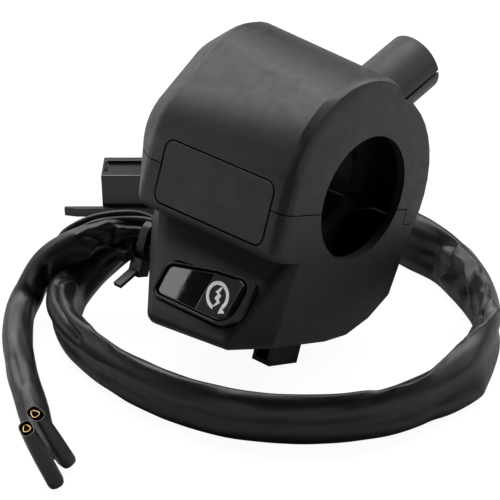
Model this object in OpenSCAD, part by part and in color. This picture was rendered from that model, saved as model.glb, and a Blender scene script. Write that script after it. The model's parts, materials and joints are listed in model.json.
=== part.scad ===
// Throttle-side handlebar switch cluster: two half shells that clamp a handlebar, a blanking
// panel, a starter button with its contacts, and a wiring loom in two vinyl sleeves.
// The origin is on the handlebar axis, in the middle of the gripping land. +X points outboard
// along the bar, -Y towards the rider and +Z up from the surface that the loom lies on.

/* [Handlebar] */
// Diameter of the handlebar that the inboard land grips
bar_d = 22.2; // [21:0.1:23]
// Length of the gripping land along the bar
clamp_len = 10; // [9:0.5:12]
// Diameter of the outboard opening for the throttle tube
throttle_d = 32; // [28:0.5:34]
// How far the housing leans back on the surface under it
lean_back = 22; // [15:1:28]

/* [Housing] */
// Length along the handlebar, from the inboard end to the outboard face
housing_len = 54.5; // [53:0.5:58]
// Wall thickness of both half shells
wall = 2.4; // [1.8:0.1:2.7]
// Rounding of the outer edges
edge_r = 3; // [2.9:0.1:3.4]
// Distance from the bar axis to the flat front land
land_y = 29.7; // [29:0.1:31]
// Height of the crown over the bar axis at the inboard shoulder
crown_z = 32.2; // [30:0.2:34]
// Radius of the rounded back of the housing
back_r = 27; // [26:0.2:28]
// Length of the tapered inboard end
taper_len = 10.7; // [9:0.1:12]
// How far the inboard end draws in
taper_in = 6; // [4:0.5:7]
// Height of the parting plane, under the bar axis
parting_z = -3.6; // [-5:0.1:-2]
// Gap along the parting line
parting_gap = 0.3; // [0.1:0.05:0.5]
// Height of the underside of the ledge below the panel
ledge_z = -15.8; // [-17:0.1:-15]
// How far the upper half laps down over the lower one at the back
lap_drop = 4; // [2:0.5:6]

/* [Chin] */
// Tilt of the chin face that carries the button
chin_tilt = 27; // [24:1:30]
// Distance of the chin's inboard wall from the outboard face
chin_len = 48.7; // [47:0.1:49.5]
// Height of the chin's underside below the bar axis
chin_bottom = 38; // [37.5:0.1:39]

/* [Cable guide] */
// Outer diameter of the throttle cable guide tube
guide_d = 15.4; // [14:0.2:15.6]
// Bore of the throttle cable guide tube
guide_bore = 8.2; // [7:0.1:9]
// Distance from the bar axis to the axis of the tube, which is the pulley radius
guide_offset = 16.9; // [16:0.1:18]
// Slope of the tube above the parting plane
guide_slope = 33.6; // [30:0.5:36]
// Width of the slit along the tube
guide_slit = 0.8; // [0.5:0.1:1.5]

/* [Panel] */
// Width of the blanking panel
panel_w = 35; // [32:0.5:36]
// Height of the blanking panel
panel_h = 15.7; // [14:0.1:16]
// Groove round the blanking panel
panel_gap = 0.45; // [0.3:0.05:0.7]

/* [Button] */
// Length of the starter button
button_len = 25.5; // [24:0.1:26]
// How far the button's outboard end stands proud of its inboard end
button_rise = 1.9; // [1.2:0.1:2.4]
// Angle through which the button turns when it is pressed
button_throw = 5; // [3:0.5:6]
// Gap round the button
button_gap = 0.35; // [0.3:0.05:0.5]
// Diameter of the button's pivot pin
pivot_d = 1.6; // [1.4:0.1:1.8]
// Diameter of the contact plunger's stem
stem_d = 3; // [2.6:0.1:3.2]
// Wire thickness of the return spring
spring_wire = 0.44; // [0.36:0.02:0.5]
// Number of curls of the return spring
spring_curls = 3; // [2:1:4]

/* [Loom] */
// Strap width of the cable ties
tie_w = 2.5; // [2.2:0.1:3.6]
// Thickness of the vinyl boots' walls
boot_wall = 0.7; // [0.5:0.1:1]

/* [Hidden] */

// Stations along the bar
inboard_x = -clamp_len / 2;
face_x = inboard_x + housing_len;
shoulder_x = inboard_x + taper_len;
chin_x = face_x - chin_len;
bar_r = bar_d / 2;
far = 100;
nudge = 0.05;

// Outlines of the domed housing, seen along the bar
nose_r_out = 25.6;
nose_z_out = 5;
nose_r_in = 20;
nose_z_in = 1;
crown_r = 20.2;
ledge_back = 17;
lap_y = 19.8;
back_edge_r = 1.4;
inner_r = 0.6;
dome_fn = 40;
rim_fn = 8;

// Bulkhead across the housing, between the pulley chamber and the clamp
pulley_len = 10;
bulkhead_t = 2;
bulkhead_x = face_x - wall - pulley_len - bulkhead_t;
bulkhead_bore_r = bar_r + 1.8;
bulkhead_depth = 19;

// Chin face: where its slope starts, and the corners of the rounded form
chin_top_y = -22;
chin_top_z = -17;
chin_fn = 16;
chin_c = edge_r - chin_bottom;

// A plane parallel to the chin face, at a depth under it
function slope_y(z, depth) =
    chin_top_y + (z - chin_top_z) * tan(chin_tilt) + depth / cos(chin_tilt);

// Corners of the chin: middle of the rounding, way out of the corner, and rounding
nose_out = 8;
nose_in = 18.6;
nose_drop = 2.2;
nose_skew = 1.6;
chin_root_z = -14;
chin_root_in = 6.2;
chin_foot_in = 0.9;
chin_foot_y = -13.8;
chin_wall_y = -17.2;
chin_wall_z = -20;
chin_root_y = -16.6;
chin_toe_y = -21;
chin_toe_drop = 0.6;
chin_back_out = [[22.3, -9], [20.4, -25], [14.6, -30.4], [7.5, -34], [0, chin_c]];
chin_back_in = [[22.3, -9], [20.4, -25], [4, chin_c], [chin_wall_y, chin_wall_z],
    [chin_root_y, chin_root_z]];
function on_slope(x, z) = [[x, slope_y(z, edge_r), z], [0, 0, 0], edge_r];
function sharp(x, y, z) = [[x, y, z], [1, y / norm([y, z]), z / norm([y, z])], back_edge_r];
function soft(x, y, z) = [[x, y, z], [0, 0, 0], edge_r];
chin_corners = [
    on_slope(face_x - nose_out, chin_c - nose_drop),
    on_slope(chin_x + nose_in, chin_c - nose_drop - nose_skew),
    on_slope(face_x - edge_r, chin_root_z),
    on_slope(chin_x + chin_root_in, chin_root_z),
    for (p = chin_back_out) sharp(face_x - edge_r, p[0], p[1]),
    for (p = chin_back_in) soft(chin_x + edge_r, p[0], p[1]),
    soft(chin_x + edge_r + chin_foot_in, chin_foot_y, chin_c),
    soft(face_x - edge_r, chin_toe_y, chin_c - chin_toe_drop)
];

// Button place, on the chin face
button_inset = 20;
button_x = face_x - button_inset;
button_z = -29.7;
button_left = -12.1;
button_right = button_left + button_len;
button_low = -4.9;
button_high_in = 2.9;
button_high_out = 5.9;
button_corners = [2.2, 4.6, 2.4, 2.4];
button_base = -3;
skin = 1.2;
hollow_run = 1;
sweep_steps = 5;
sweep_power = 1.6;
sweep_share = 0.86;
crest_len = 6;
crest_back = 1.8;
crest_front = 1;
crest_drop = 0.2;
end_share = 0.25;
bezel_lip = 1.3;
bezel_collar = 1;
bezel_fit = 0.12;
bezel_in = 0.35;
bezel_out = 1.7;
bezel_depth = -wall - 0.8;

// Button pivot, and the contact plunger that the button pushes
pivot_u = button_left + 2.5;
pivot_w = -1.8;
pivot_r = pivot_d / 2;
pivot_fit = 0.05;
pin_hold = 0.9;
pin_fn = 24;
barrel_r = pivot_r + 0.85;
plunger_u = 5.5;
plunger_v = 1.6;
heel_r = 2.2;
push_gap = 0.3;
head_r = 2.7;
head_t = 1.2;
head_w = button_base - push_gap;
bridge_w = head_w - head_t;
stem_fit = 0.06;
stem_r = stem_d / 2;
arm = plunger_u - pivot_u;
travel = arm * button_throw * PI / 180;

// Contact bridge, fixed contacts and the base that carries them
bridge_len = 13;
bridge_wide = 4.4;
bridge_t = 0.4;
bridge_r = 1;
tip_r = 0.9;
tip_t = 0.5;
contact_reach = 5;
contact_gap = 0.18;
contact_top = bridge_w - bridge_t - tip_t - travel - contact_gap;
base_top = -8.4;
base_t = 1.6;
base_low = -1;
base_high = 12.2;
base_left = -9;
base_right = 14;
contact_r = 1.3;
tail_r = 0.8;
tail_len = 2.2;
tail_fit = 0.04;
post_u = [-6.5, 11.5];
post_v = 9.8;
post_r = 2.2;
base_screw_r = 0.85;
base_screw_head_r = 1.9;
base_screw_head_t = 1.3;
base_screw_len = 5.6;
screw_fit = 0.08;

// Return spring round the stem
spring_r = 2.2;
spring_seat = 0.02;
spring_low = base_top + spring_wire / 2 + spring_seat;
spring_high = bridge_w - bridge_t - spring_wire / 2 - spring_seat;
rings_per_curl = 8;
spring_sides = 6;

// Clamp screws beside the handlebar
clamp_screw_y = 16.3;
clamp_screw_r = 2;
clamp_screw_head_r = 3.6;
clamp_screw_head_t = 2.6;
clamp_screw_seat = -10;
clamp_screw_top = 9;
clamp_screw_clear = 0.3;
clamp_screw_end = clamp_screw_top - 1;

// Panel and its window
panel_inset = 22.6;
panel_x = face_x - panel_inset;
panel_z = -5.05;
panel_r = 2.3;
panel_lip = 1.2;
panel_rise = 0.3;
panel_lip_t = 1;
panel_seat = 0.45;
panel_clear = 0.35;
bulkhead_front = land_y - wall - panel_seat - panel_lip_t - panel_clear;

// Lug under the chin, open to the front
lug_inset = 13;
lug_x = face_x - lug_inset;
lug_w = 5.7;
lug_y = -11.2;
lug_bottom = -46;
lug_wall = 1.1;

// Cable guide tube
guide_inset = 8;
guide_x = face_x - guide_inset;
guide_end = 33.3;
guide_slit_start = 0.6 * guide_end;
guide_mouth_d = guide_bore + 2;
guide_mouth_len = 4;

// Loom exit in the chin's inboard wall
exit_y = -12;
exit_low = -34;
exit_high = -20.6;
exit_w = 7.6;

// Surface under the cluster, where the loom lies
floor_z = lug_bottom * cos(lean_back);

// Connector behind the cluster, and a row of the loom behind its end
connector_x = -54.5;
connector_y = -4.3;
connector_turn = 40;
rail_t = 2.6;
rail_len = 36.6;
rail_w = 1.6;
rail_bevel = 3.6;
block_x = 10.6;
block_y = rail_w + nudge;
block_len = 26;
block_w = 10.7;
block_h = 12.2;
block_rim = 1;
block_recess = 0.9;
recess_y = 2.8;
recess_w = 5.8;
ways_wide = 3;
ways_high = 2;
way_pitch = 3.2;
way_size = 2.6;
way_depth = 16;
way_low = 3;
way_set = 1.5;
terminal_t = 0.4;
terminal_back = 2;
terminal_w = way_size - 2 * nudge;
function connector_row(back, half_w, half_h) =
    let (along = block_x + block_len + back, across = block_y + block_w / 2) [
        connector_x + along * cos(connector_turn) - across * sin(connector_turn),
        connector_y + along * sin(connector_turn) + across * cos(connector_turn),
        floor_z + block_h / 2, half_w, half_h
    ];

// Routes on that surface: place, then half width and half height of the sleeve there
main_route = [
    [6, -22.5, -23.7, 2.4, 2.4], [-3, -22.5, -23.7, 2.4, 2.4], [-9, -23.4, -25.4, 2.8, 2.8],
    [-15.4, -30.5, -31.2, 3.6, 4.8], [-15, -41, -35.2, 4.6, 6.6], [-2, -52, -35.6, 3.4, 7],
    [25, -56.4, -35.6, 3, 7], [52, -51, -35.6, 3, 7], [74, -34, -35.6, 3, 7],
    [83, -10, -35.6, 3, 7], [75.5, 16, -35.6, 3.9, 7], [54, 36, -35.6, 4, 7],
    [30, 42, -35.6, 3.2, 7], [4, 42, -35.6, 3.2, 6.6], connector_row(14, 3, 4.6),
    connector_row(4, 3, 3.4), connector_row(0.2, 3, 3.2)
];
branch_route = [
    [6, -21, -19.8, 1.7, 1.7], [-3, -21, -19.8, 1.7, 1.7], [-9, -23.4, -18.6, 2.8, 2.4],
    [-14, -30, -20.6, 3.6, 3.8], [-21.6, -38.5, -25.9, 3.6, 3.8], [-25, -46, -36.4, 4.1, 4],
    [-18, -56, -38.6, 3.8, 3.8], [-4, -68, -38.6, 3.8, 3.8], [10, -77.5, -38.6, 3.8, 3.8],
    [18, -83, -38.8, 3.6, 3.6]
];
lead_routes = [
    [[6, -18.9, -16.6], [-3, -18.9, -16.6], [-9, -21.2, -14], [-16, -28, -15], [-22, -32.6, -19.4],
        [-25.6, -33.6, -26.5]],
    [[6, -20.5, -16], [-3, -20.5, -16], [-9, -23.2, -14.9], [-14.6, -29.8, -15.7],
        [-20.6, -35, -20.5], [-24, -36.2, -24.8]]
];
sleeve_sides = 12;
sleeve_steps = 2;
wire_r = 0.8;
wire_sides = 8;
wire_spread = [0.5, 0.85, 0];
wire_drop = [0, 0, 1];
wire_bow = 2;
wire_bend = 0.6;

// Cable ties
tie_x = -3;
tie_t = 1.1;
tie_head = 3.8;
tie_head_h = 4.6;
tie_tail = 6;
tie_tail_slope = 35;
bundle_w = 5;
bundle_h = 8.4;
bundle_z = -28.7;
loom_tie_x = -7.2;
loom_tie_y = -22.7;
loom_tie_z = -25.2;
loom_tie_turn = 6;
loom_tie_r = 2.95;
loom_tie_roll = 88;
loom_tie_head = 3;

// Boots: place of each closed end, then the way its mouth turns and how far it leans
boot_w = 5.4;
boot_d = 3.1;
boot_len = 16;
boot_pocket = 8;
boot_edge = 0.5;
boot_end_r = boot_d / 2.1;
boot_places = [[29.1, -84.8, floor_z + 1.6, -114, 25], [32.2, -91.5, floor_z + 1.6, -113, 21]];
branch_end = branch_route[len(branch_route) - 1];
receptacle_t = 0.35;
receptacle_set = 1.2;
receptacle_r = 0.3;
receptacle_curl = 0.45;

// Sums, directions and smooth curves
function unit(v) = v / norm(v);
function spot(row) = [row[0], row[1], row[2]];

// A point between b and c on a smooth curve through a, b, c and d
function between(a, b, c, d, t) =
    (2 * b + (c - a) * t + (2 * a - 5 * b + 4 * c - d) * t * t
        + (3 * b - a - 3 * c + d) * t * t * t) / 2;

// A route with extra rows between its own
function smooth(rows, steps) = let (last = len(rows) - 1) [
    for (i = [0 : last - 1], k = [0 : steps - 1])
        between(rows[max(i - 1, 0)], rows[i], rows[i + 1], rows[min(i + 2, last)], k / steps),
    rows[last]
];

// The heading of a route at one of its rows
function heading(rows, i) =
    unit(spot(rows[min(i + 1, len(rows) - 1)]) - spot(rows[max(i - 1, 0)]));

// A ring of points round one row, with its height kept upright
function upright_ring(row, ahead, sides) =
    let (side = unit(cross(ahead, [0, 0, 1])), rise = cross(side, ahead)) [
        for (k = [0 : sides - 1]) spot(row)
            + row[3] * cos(360 * k / sides) * side
            - row[4] * sin(360 * k / sides) * rise
    ];

// A closed skin over rings of points
module skin_over(rings) {
    sides = len(rings[0]);
    last = len(rings) - 1;
    points = [for (ring = rings) each ring, mean(rings[0]), mean(rings[last])];
    first_pole = sides * len(rings);
    polyhedron(points, [
        for (i = [0 : last - 1], k = [0 : sides - 1]) let (
            a = i * sides + k,
            b = i * sides + (k + 1) % sides
        ) each [[a, a + sides, b], [b, a + sides, b + sides]],
        for (k = [0 : sides - 1]) [k, (k + 1) % sides, first_pole],
        for (k = [0 : sides - 1])
            [last * sides + (k + 1) % sides, last * sides + k, first_pole + 1]
    ]);
}

function mean(points) = [for (axis = [0 : 2]) total([for (p = points) p[axis]]) / len(points)];
function total(list) = list * [for (item = list) 1];

// Rows for a wire along plain points
function thin(points) = [for (p = points) [p[0], p[1], p[2], wire_r, wire_r]];

// A tube swept along a route
module swept(route, steps, sides) {
    rows = smooth(route, steps);
    skin_over([for (i = [0 : len(rows) - 1]) upright_ring(rows[i], heading(rows, i), sides)]);
}

// Points of an outline whose corners are rounded
function rounded(corners, radii, steps = 5) = let (n = len(corners)) [
    for (i = [0 : n - 1]) each
        fillet(corners[(i + n - 1) % n], corners[i], corners[(i + 1) % n], radii[i], steps)
];
function fillet(a, b, c, r, steps) = let (
    to_a = unit(a - b),
    to_c = unit(c - b),
    half = acos(to_a * to_c) / 2,
    centre = b + unit(to_a + to_c) * r / sin(half),
    spoke = b + to_a * r / tan(half) - centre,
    start = atan2(spoke[1], spoke[0]),
    turn = 180 - 2 * half
) [for (k = [0 : steps]) centre + r * [cos(start + turn * k / steps), sin(start + turn * k / steps)]];

function box_corners(w, h) = [[-w / 2, -h / 2], [w / 2, -h / 2], [w / 2, h / 2], [-w / 2, h / 2]];
function rounded_box(w, h, r) = rounded(box_corners(w, h), [r, r, r, r]);

// Frames: the leaning housing, an outline along the bar, and the chin face
module lean() rotate([-lean_back, 0, 0]) children();
module along_bar(x0, x1) translate([x0, 0, 0]) rotate([90, 0, 90]) linear_extrude(x1 - x0) children();
module from_front(y0, y1) translate([0, y1, 0]) rotate([90, 0, 0]) linear_extrude(y1 - y0) children();
module on_chin()
    translate([button_x, slope_y(button_z, 0), button_z]) rotate([90 - chin_tilt, 0, 0]) children();

// Domed form of the housing: its outer skin, or the same drawn in by a depth
module ring(x, y, z, radius, rim)
    translate([x, y, z]) rotate([0, 90, 0]) rotate_extrude($fn = dome_fn)
        translate([radius, 0]) circle(rim, $fn = rim_fn);

function rim_depth(round_r, depth) = depth > 0 ? max(round_r, depth + inner_r) : round_r;

// A disc with a rounded rim that ends at a station along the bar
module disc(x, way, y, z, radius, round_r, depth) {
    c = rim_depth(round_r, depth);
    ring(x + way * c, y, z, radius - c, c - depth);
}

module section_in(x, shrink, depth) {
    disc(x, 1, nose_r_in - land_y, nose_z_in, nose_r_in - shrink, edge_r, depth);
    disc(x, 1, 0, crown_z - crown_r, crown_r - shrink, edge_r, depth);
    disc(x, 1, 0, 0, back_r - shrink, edge_r, depth);
}

module dome(depth) hull() {
    disc(face_x, -1, nose_r_out - land_y, nose_z_out, nose_r_out, edge_r, depth);
    disc(face_x, -1, 0, 0, back_r, back_edge_r, depth);
    section_in(shoulder_x - edge_r, 0, depth);
    section_in(inboard_x, taper_in, depth);
    for (x = [shoulder_x, face_x - edge_r])
        translate([x, edge_r - land_y, ledge_z + edge_r]) sphere(edge_r - depth, $fn = chin_fn);
}

module under_ledge(grow)
    translate([-far, -far - ledge_back + grow, -far + ledge_z + grow]) cube([2 * far, far, far]);

module chin(depth) hull() for (corner = chin_corners)
    if (depth > 0) translate(corner[0]) sphere(edge_r - depth, $fn = chin_fn);
    else translate(corner[0] + corner[1] * (edge_r - corner[2])) sphere(corner[2], $fn = chin_fn);

module lower_form(depth) {
    difference() {
        dome(depth);
        under_ledge(depth);
    }
    chin(depth);
}

// The two sides of the stepped parting line
module parted(side) {
    edge_y = lap_y + side * parting_gap / 2;
    edge_z = parting_z + side * parting_gap / 2;
    along_bar(-far, far) polygon([[-far, edge_z], [edge_y, edge_z], [edge_y, edge_z - lap_drop],
        [far, edge_z - lap_drop], [far, side * far], [-far, side * far]]);
}

module clamp_land() translate([-far, -far, -far]) cube([far + clamp_len / 2, 2 * far, 2 * far]);
module bulkhead() translate([bulkhead_x, -bulkhead_front, -bulkhead_depth])
    cube([bulkhead_t, bulkhead_front + far, bulkhead_depth + far]);

module bar_bores() {
    rotate([0, 90, 0]) cylinder(h = 2 * far, d = bar_d, center = true);
    translate([face_x - 2 * wall, 0, 0]) rotate([0, 90, 0]) cylinder(h = far, d = throttle_d);
    translate([bulkhead_x - bulkhead_t, 0, 0]) rotate([0, 90, 0])
        cylinder(h = 3 * bulkhead_t, r = bulkhead_bore_r);
}

module panel_window()
    translate([panel_x, 0, panel_z]) from_front(-far, -land_y + wall + panel_lip_t)
        polygon(rounded_box(panel_w + 2 * panel_gap, panel_h + 2 * panel_gap, panel_r + panel_gap));

module at_clamp_screws() for (y = [-1, 1] * clamp_screw_y) translate([0, y, 0]) children();

// Upper half shell, with the tube that guides the throttle cable to the pulley
module guide_line() translate([guide_x, 0, 0]) rotate([guide_slope, 0, 0])
    translate([0, 0, guide_offset]) rotate([-90, 0, 0]) children();

module upper_shell() color("#2b2a29") lean() difference() {
    intersection() {
        difference() {
            union() {
                dome(0);
                guide_line() cylinder(h = guide_end, d = guide_d);
            }
            difference() {
                dome(wall);
                clamp_land();
            }
        }
        parted(1);
    }
    bar_bores();
    translate([-far, -bar_r, parting_z - lap_drop]) cube([far + clamp_len, bar_d, lap_drop - parting_z]);
    guide_line() {
        cylinder(h = far, d = guide_bore);
        translate([0, 0, guide_end - guide_mouth_len]) cylinder(h = far, d = guide_mouth_d);
        translate([0, -guide_slit / 2, guide_slit_start]) cube([far, guide_slit, far]);
    }
    panel_window();
    at_clamp_screws() cylinder(h = 2 * clamp_screw_top, r = clamp_screw_r, center = true);
}

// Lower half shell, with the chin, the button's opening, the loom exit and the hollow lug
module lower_shell() color("#262524") lean() difference() {
    union() {
        intersection() {
            difference() {
                lower_form(0);
                difference() {
                    lower_form(wall);
                    clamp_land();
                    on_chin() for (u = post_u) translate([u, post_v, base_top])
                        cylinder(h = -base_top, r = post_r);
                }
            }
            parted(-1);
        }
        translate([lug_x, lug_y, lug_bottom])
            cube([lug_w, -lug_y, edge_r - chin_bottom - lug_bottom - wall / 2]);
    }
    bar_bores();
    panel_window();
    on_chin() {
        translate([0, 0, bezel_depth - bezel_fit]) linear_extrude(far)
            polygon(paddle(button_gap + bezel_collar + bezel_fit));
        for (u = post_u) translate([u, post_v, base_top])
            cylinder(h = base_screw_len, r = base_screw_r + screw_fit);
    }
    along_bar(chin_x - edge_r, chin_x + 2 * wall) translate([exit_y, (exit_low + exit_high) / 2])
        polygon(rounded_box(exit_w, exit_high - exit_low, exit_w / 3));
    at_clamp_screws() {
        cylinder(h = far, r = clamp_screw_r + clamp_screw_clear, center = true);
        translate([0, 0, clamp_screw_seat - far])
            cylinder(h = far, r = clamp_screw_head_r + clamp_screw_clear);
    }
    translate([lug_x + lug_wall, lug_y - lug_wall, lug_bottom + lug_wall])
        cube([lug_w - 2 * lug_wall, -lug_y, -chin_bottom - lug_bottom - 2 * lug_wall]);
}

// Bulkheads that close the pulley chamber towards the clamp
module upper_bulkhead() color("#2b2a29") lean() difference() {
    intersection() {
        dome(wall + nudge);
        bulkhead();
        parted(1);
    }
    bar_bores();
}

module lower_bulkhead() color("#262524") lean() difference() {
    intersection() {
        lower_form(wall + nudge);
        bulkhead();
        parted(-1);
    }
    bar_bores();
}

// Blanking panel, trapped behind the window by its rim
module blanking_panel() color("#2e2d2c") lean() translate([panel_x, 0, panel_z]) {
    rim_front = -land_y + wall + panel_seat;
    from_front(-land_y, rim_front + nudge) polygon(rounded_box(panel_w, panel_h, panel_r));
    rim_w = panel_w + 2 * (panel_gap + panel_lip);
    rim_low = -panel_h / 2 - panel_gap + panel_rise;
    rim_high = panel_h / 2 + panel_gap + panel_lip;
    translate([0, 0, (rim_low + rim_high) / 2]) from_front(rim_front, rim_front + panel_lip_t)
        polygon(rounded_box(rim_w, rim_high - rim_low, panel_r));
}

// Outline of the button, which widens outboard, grown by a margin
function paddle(grow) = rounded(
    [
        [button_left - grow, button_low - grow], [button_right + grow, button_low - grow],
        [button_right + grow, button_high_out + grow], [button_left - grow, button_high_in + grow]
    ],
    [for (r = button_corners) r + grow]
);

// Raised glossy lip, with the collar that holds the pivot pin
module switch_bezel() color("#1a1a1a") lean() on_chin() difference() {
    union() {
        translate([0, 0, bezel_depth]) linear_extrude(-bezel_depth + bezel_in)
            polygon(paddle(button_gap + bezel_collar));
        intersection() {
            linear_extrude(far) polygon(paddle(button_gap + bezel_lip));
            from_front(-far, far) polygon([[-far, 0], [far, 0], [far, bezel_out],
                [button_right, bezel_out], [button_left, bezel_in], [-far, bezel_in]]);
        }
    }
    translate([0, 0, -far]) linear_extrude(2 * far) polygon(paddle(button_gap));
    pivot_line() cylinder(h = far, r = pivot_r, center = true, $fn = pin_fn);
}

module pivot_line() translate([pivot_u, 0, pivot_w]) rotate([90, 0, 0]) children();

// Starter button: a hollow paddle with a pivot barrel and a heel over the plunger
module start_button() color("#141414") lean() on_chin() difference() {
    union() {
        difference() {
            button_block(0, 0, button_base);
            button_block(-skin, skin, button_base - hollow_run);
        }
        intersection() {
            button_block(0, 0, button_base);
            union() {
                pivot_line() translate([0, 0, -button_high_in])
                    cylinder(h = button_high_in - button_low - skin, r = barrel_r);
                translate([plunger_u, plunger_v, button_base]) cylinder(h = far, r = heel_r);
            }
        }
    }
    pivot_line() cylinder(h = far, r = pivot_r + pivot_fit, center = true, $fn = pin_fn);
}

// The paddle's block, drawn in at its sides and lowered at its top
module button_block(grow, lower, bottom) intersection() {
    translate([0, 0, bottom]) linear_extrude(far) polygon(paddle(grow));
    from_front(-far, far) translate([0, -lower]) polygon([
        [-far, bottom + lower], [far, bottom + lower], [far, 0],
        [button_right, button_rise * end_share],
        [button_right - crest_front, button_rise - crest_drop],
        [button_right - crest_back, button_rise],
        for (k = [sweep_steps : -1 : 0]) sweep(k / sweep_steps),
        [-far, 0]
    ]);
}

// Top of the button, seen from its side: a hollow sweep up to the crest at its outboard end
function sweep(t) =
    [button_left + t * (button_len - crest_len), button_rise * sweep_share * pow(t, sweep_power)];

// Pin that the button turns on, held in the bezel's collar
module pivot_pin() color("#b8b8bc") lean() on_chin() {
    pin_low = button_low - button_gap - pin_hold * bezel_collar;
    pin_high = button_high_in + button_gap + pin_hold * bezel_collar;
    pivot_line() translate([0, 0, -pin_high]) cylinder(h = pin_high - pin_low, r = pivot_r, $fn = pin_fn);
}

// Plunger that the button's heel pushes through the switch base
module contact_plunger() color("#d8d4c8") lean() on_chin() translate([plunger_u, plunger_v, 0]) {
    translate([0, 0, bridge_w]) cylinder(h = head_t, r = head_r);
    stem_end = base_top - base_t - tail_len;
    translate([0, 0, stem_end]) cylinder(h = bridge_w - stem_end + nudge, r = stem_r);
}

// Copper strip under the plunger's head, with a tip over each fixed contact
module contact_bridge() color("#c08a5a") lean() on_chin()
    translate([plunger_u, plunger_v, 0]) difference() {
    union() {
        translate([0, 0, bridge_w - bridge_t]) linear_extrude(bridge_t)
            polygon(rounded_box(bridge_len, bridge_wide, bridge_r));
        for (u = [-1, 1] * contact_reach) translate([u, 0, bridge_w - bridge_t - tip_t])
            cylinder(h = tip_t + nudge, r = tip_r);
    }
    translate([0, 0, bridge_w - 2 * bridge_t]) cylinder(h = 4 * bridge_t, r = stem_r);
}

// Coil spring between the base and the bridge
module return_spring() color("#c9c9cc") lean() on_chin() translate([plunger_u, plunger_v, 0])
    skin_over(spring_rings);

spring_count = spring_curls * rings_per_curl;
spring_points = [for (i = [0 : spring_count]) [
    spring_r * cos(360 * i / rings_per_curl), spring_r * sin(360 * i / rings_per_curl),
    spring_low + (spring_high - spring_low) * i / spring_count
]];
spring_rings = [for (i = [0 : spring_count]) let (
    turn = 360 * i / rings_per_curl,
    out = [cos(turn), sin(turn), 0]
) [for (k = [0 : spring_sides - 1]) spring_points[i]
    + spring_wire / 2 * (cos(360 * k / spring_sides) * out + sin(360 * k / spring_sides) * [0, 0, -1])]];
spring_gap = min([for (i = [0 : spring_count], j = [i + rings_per_curl / 2 : 1 : spring_count])
    norm(spring_points[i] - spring_points[j])]) - spring_wire;
echo(spring_gap = spring_gap);

// Insulating base, screwed to two posts behind the chin face
module switch_base() color("#5a3a24") lean() on_chin() difference() {
    translate([base_left, base_low, base_top - base_t])
        cube([base_right - base_left, base_high - base_low, base_t]);
    translate([plunger_u, plunger_v, base_top - 2 * base_t])
        cylinder(h = 3 * base_t, r = stem_r + stem_fit);
    at_contacts() translate([0, 0, base_top - 2 * base_t])
        cylinder(h = 3 * base_t, r = tail_r + tail_fit, $fn = pin_fn);
    for (u = post_u) translate([u, post_v, base_top - 2 * base_t])
        cylinder(h = 3 * base_t, r = base_screw_r + screw_fit, $fn = pin_fn);
}

module at_contacts() for (u = [-1, 1] * contact_reach)
    translate([plunger_u + u, plunger_v, 0]) children();

// Brass rivets with solder tails under the base
module fixed_contacts() color("#c7a252") lean() on_chin() at_contacts() {
    translate([0, 0, base_top]) cylinder(h = contact_top - base_top, r = contact_r);
    translate([0, 0, base_top - base_t - tail_len])
        cylinder(h = base_t + tail_len + nudge, r = tail_r, $fn = pin_fn);
}

module base_screws() color("#b8b8bc") lean() on_chin() for (u = post_u)
    translate([u, post_v, base_top - base_t]) {
        translate([0, 0, -base_screw_head_t]) cylinder(h = base_screw_head_t, r = base_screw_head_r);
        cylinder(h = base_screw_len, r = base_screw_r, $fn = pin_fn);
    }

module clamp_screws() color("#8e8e92") lean() at_clamp_screws() {
    translate([0, 0, clamp_screw_seat - clamp_screw_head_t])
        cylinder(h = clamp_screw_head_t, r = clamp_screw_head_r);
    translate([0, 0, clamp_screw_seat])
        cylinder(h = clamp_screw_end - clamp_screw_seat, r = clamp_screw_r);
}

// Wires from the contacts' tails to the loom exit
module switch_wires() color("#3c2f2a") lean() for (route = [switch_wire_out, switch_wire_in])
    swept(thin(route), 1, wire_sides);

function chin_point(u, v, w) = [button_x + u,
    slope_y(button_z, 0) + v * sin(chin_tilt) - w * cos(chin_tilt),
    button_z + v * cos(chin_tilt) + w * sin(chin_tilt)];
tail_end = base_top - base_t - tail_len;
switch_wire_out = [
    chin_point(plunger_u + contact_reach, plunger_v, tail_end - nudge),
    chin_point(plunger_u + contact_reach, plunger_v + wire_r, tail_end - wire_bow),
    [36, -11.2, -33], [22, -10.6, -31.5], [6.5, -10.9, -30.2]
];
switch_wire_in = [
    chin_point(plunger_u - contact_reach, plunger_v, tail_end - nudge),
    chin_point(plunger_u - contact_reach, plunger_v + wire_r, tail_end - wire_bow),
    [24, -13.6, -32.5], [14, -13.4, -30.8], [6.5, -13.1, -30.2]
];

// Flattened vinyl sleeves of the loom
module main_sleeve() color("#1c1c1d") swept(main_route, sleeve_steps, sleeve_sides);
module branch_sleeve() color("#1c1c1d") swept(branch_route, sleeve_steps, sleeve_sides);

// Two thin leads that run over the branch
module loom_leads() color("#222222") for (route = lead_routes)
    swept(thin(route), sleeve_steps, wire_sides);

// Cable tie round the loom at the exit, with its head and the cut tail
module exit_tie() color("#2a2a2a") lean() {
    along_bar(tie_x - tie_w / 2, tie_x + tie_w / 2) translate([exit_y, bundle_z]) difference() {
        polygon(rounded_box(bundle_w + 2 * tie_t, bundle_h + 2 * tie_t, bundle_w / 2 + tie_t));
        polygon(rounded_box(bundle_w, bundle_h, bundle_w / 2));
    }
    translate([tie_x - tie_head / 2, exit_y - tie_head, bundle_z - bundle_h / 2 - tie_t / 2 - tie_head_h])
        cube([tie_head, tie_head, tie_head_h]);
    translate([tie_x - tie_w / 2, exit_y - tie_head + nudge, bundle_z - bundle_h / 2 - tie_head_h])
        rotate([tie_tail_slope, 0, 0]) translate([0, -tie_tail, 0]) cube([tie_w, tie_tail, tie_t]);
}

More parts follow.
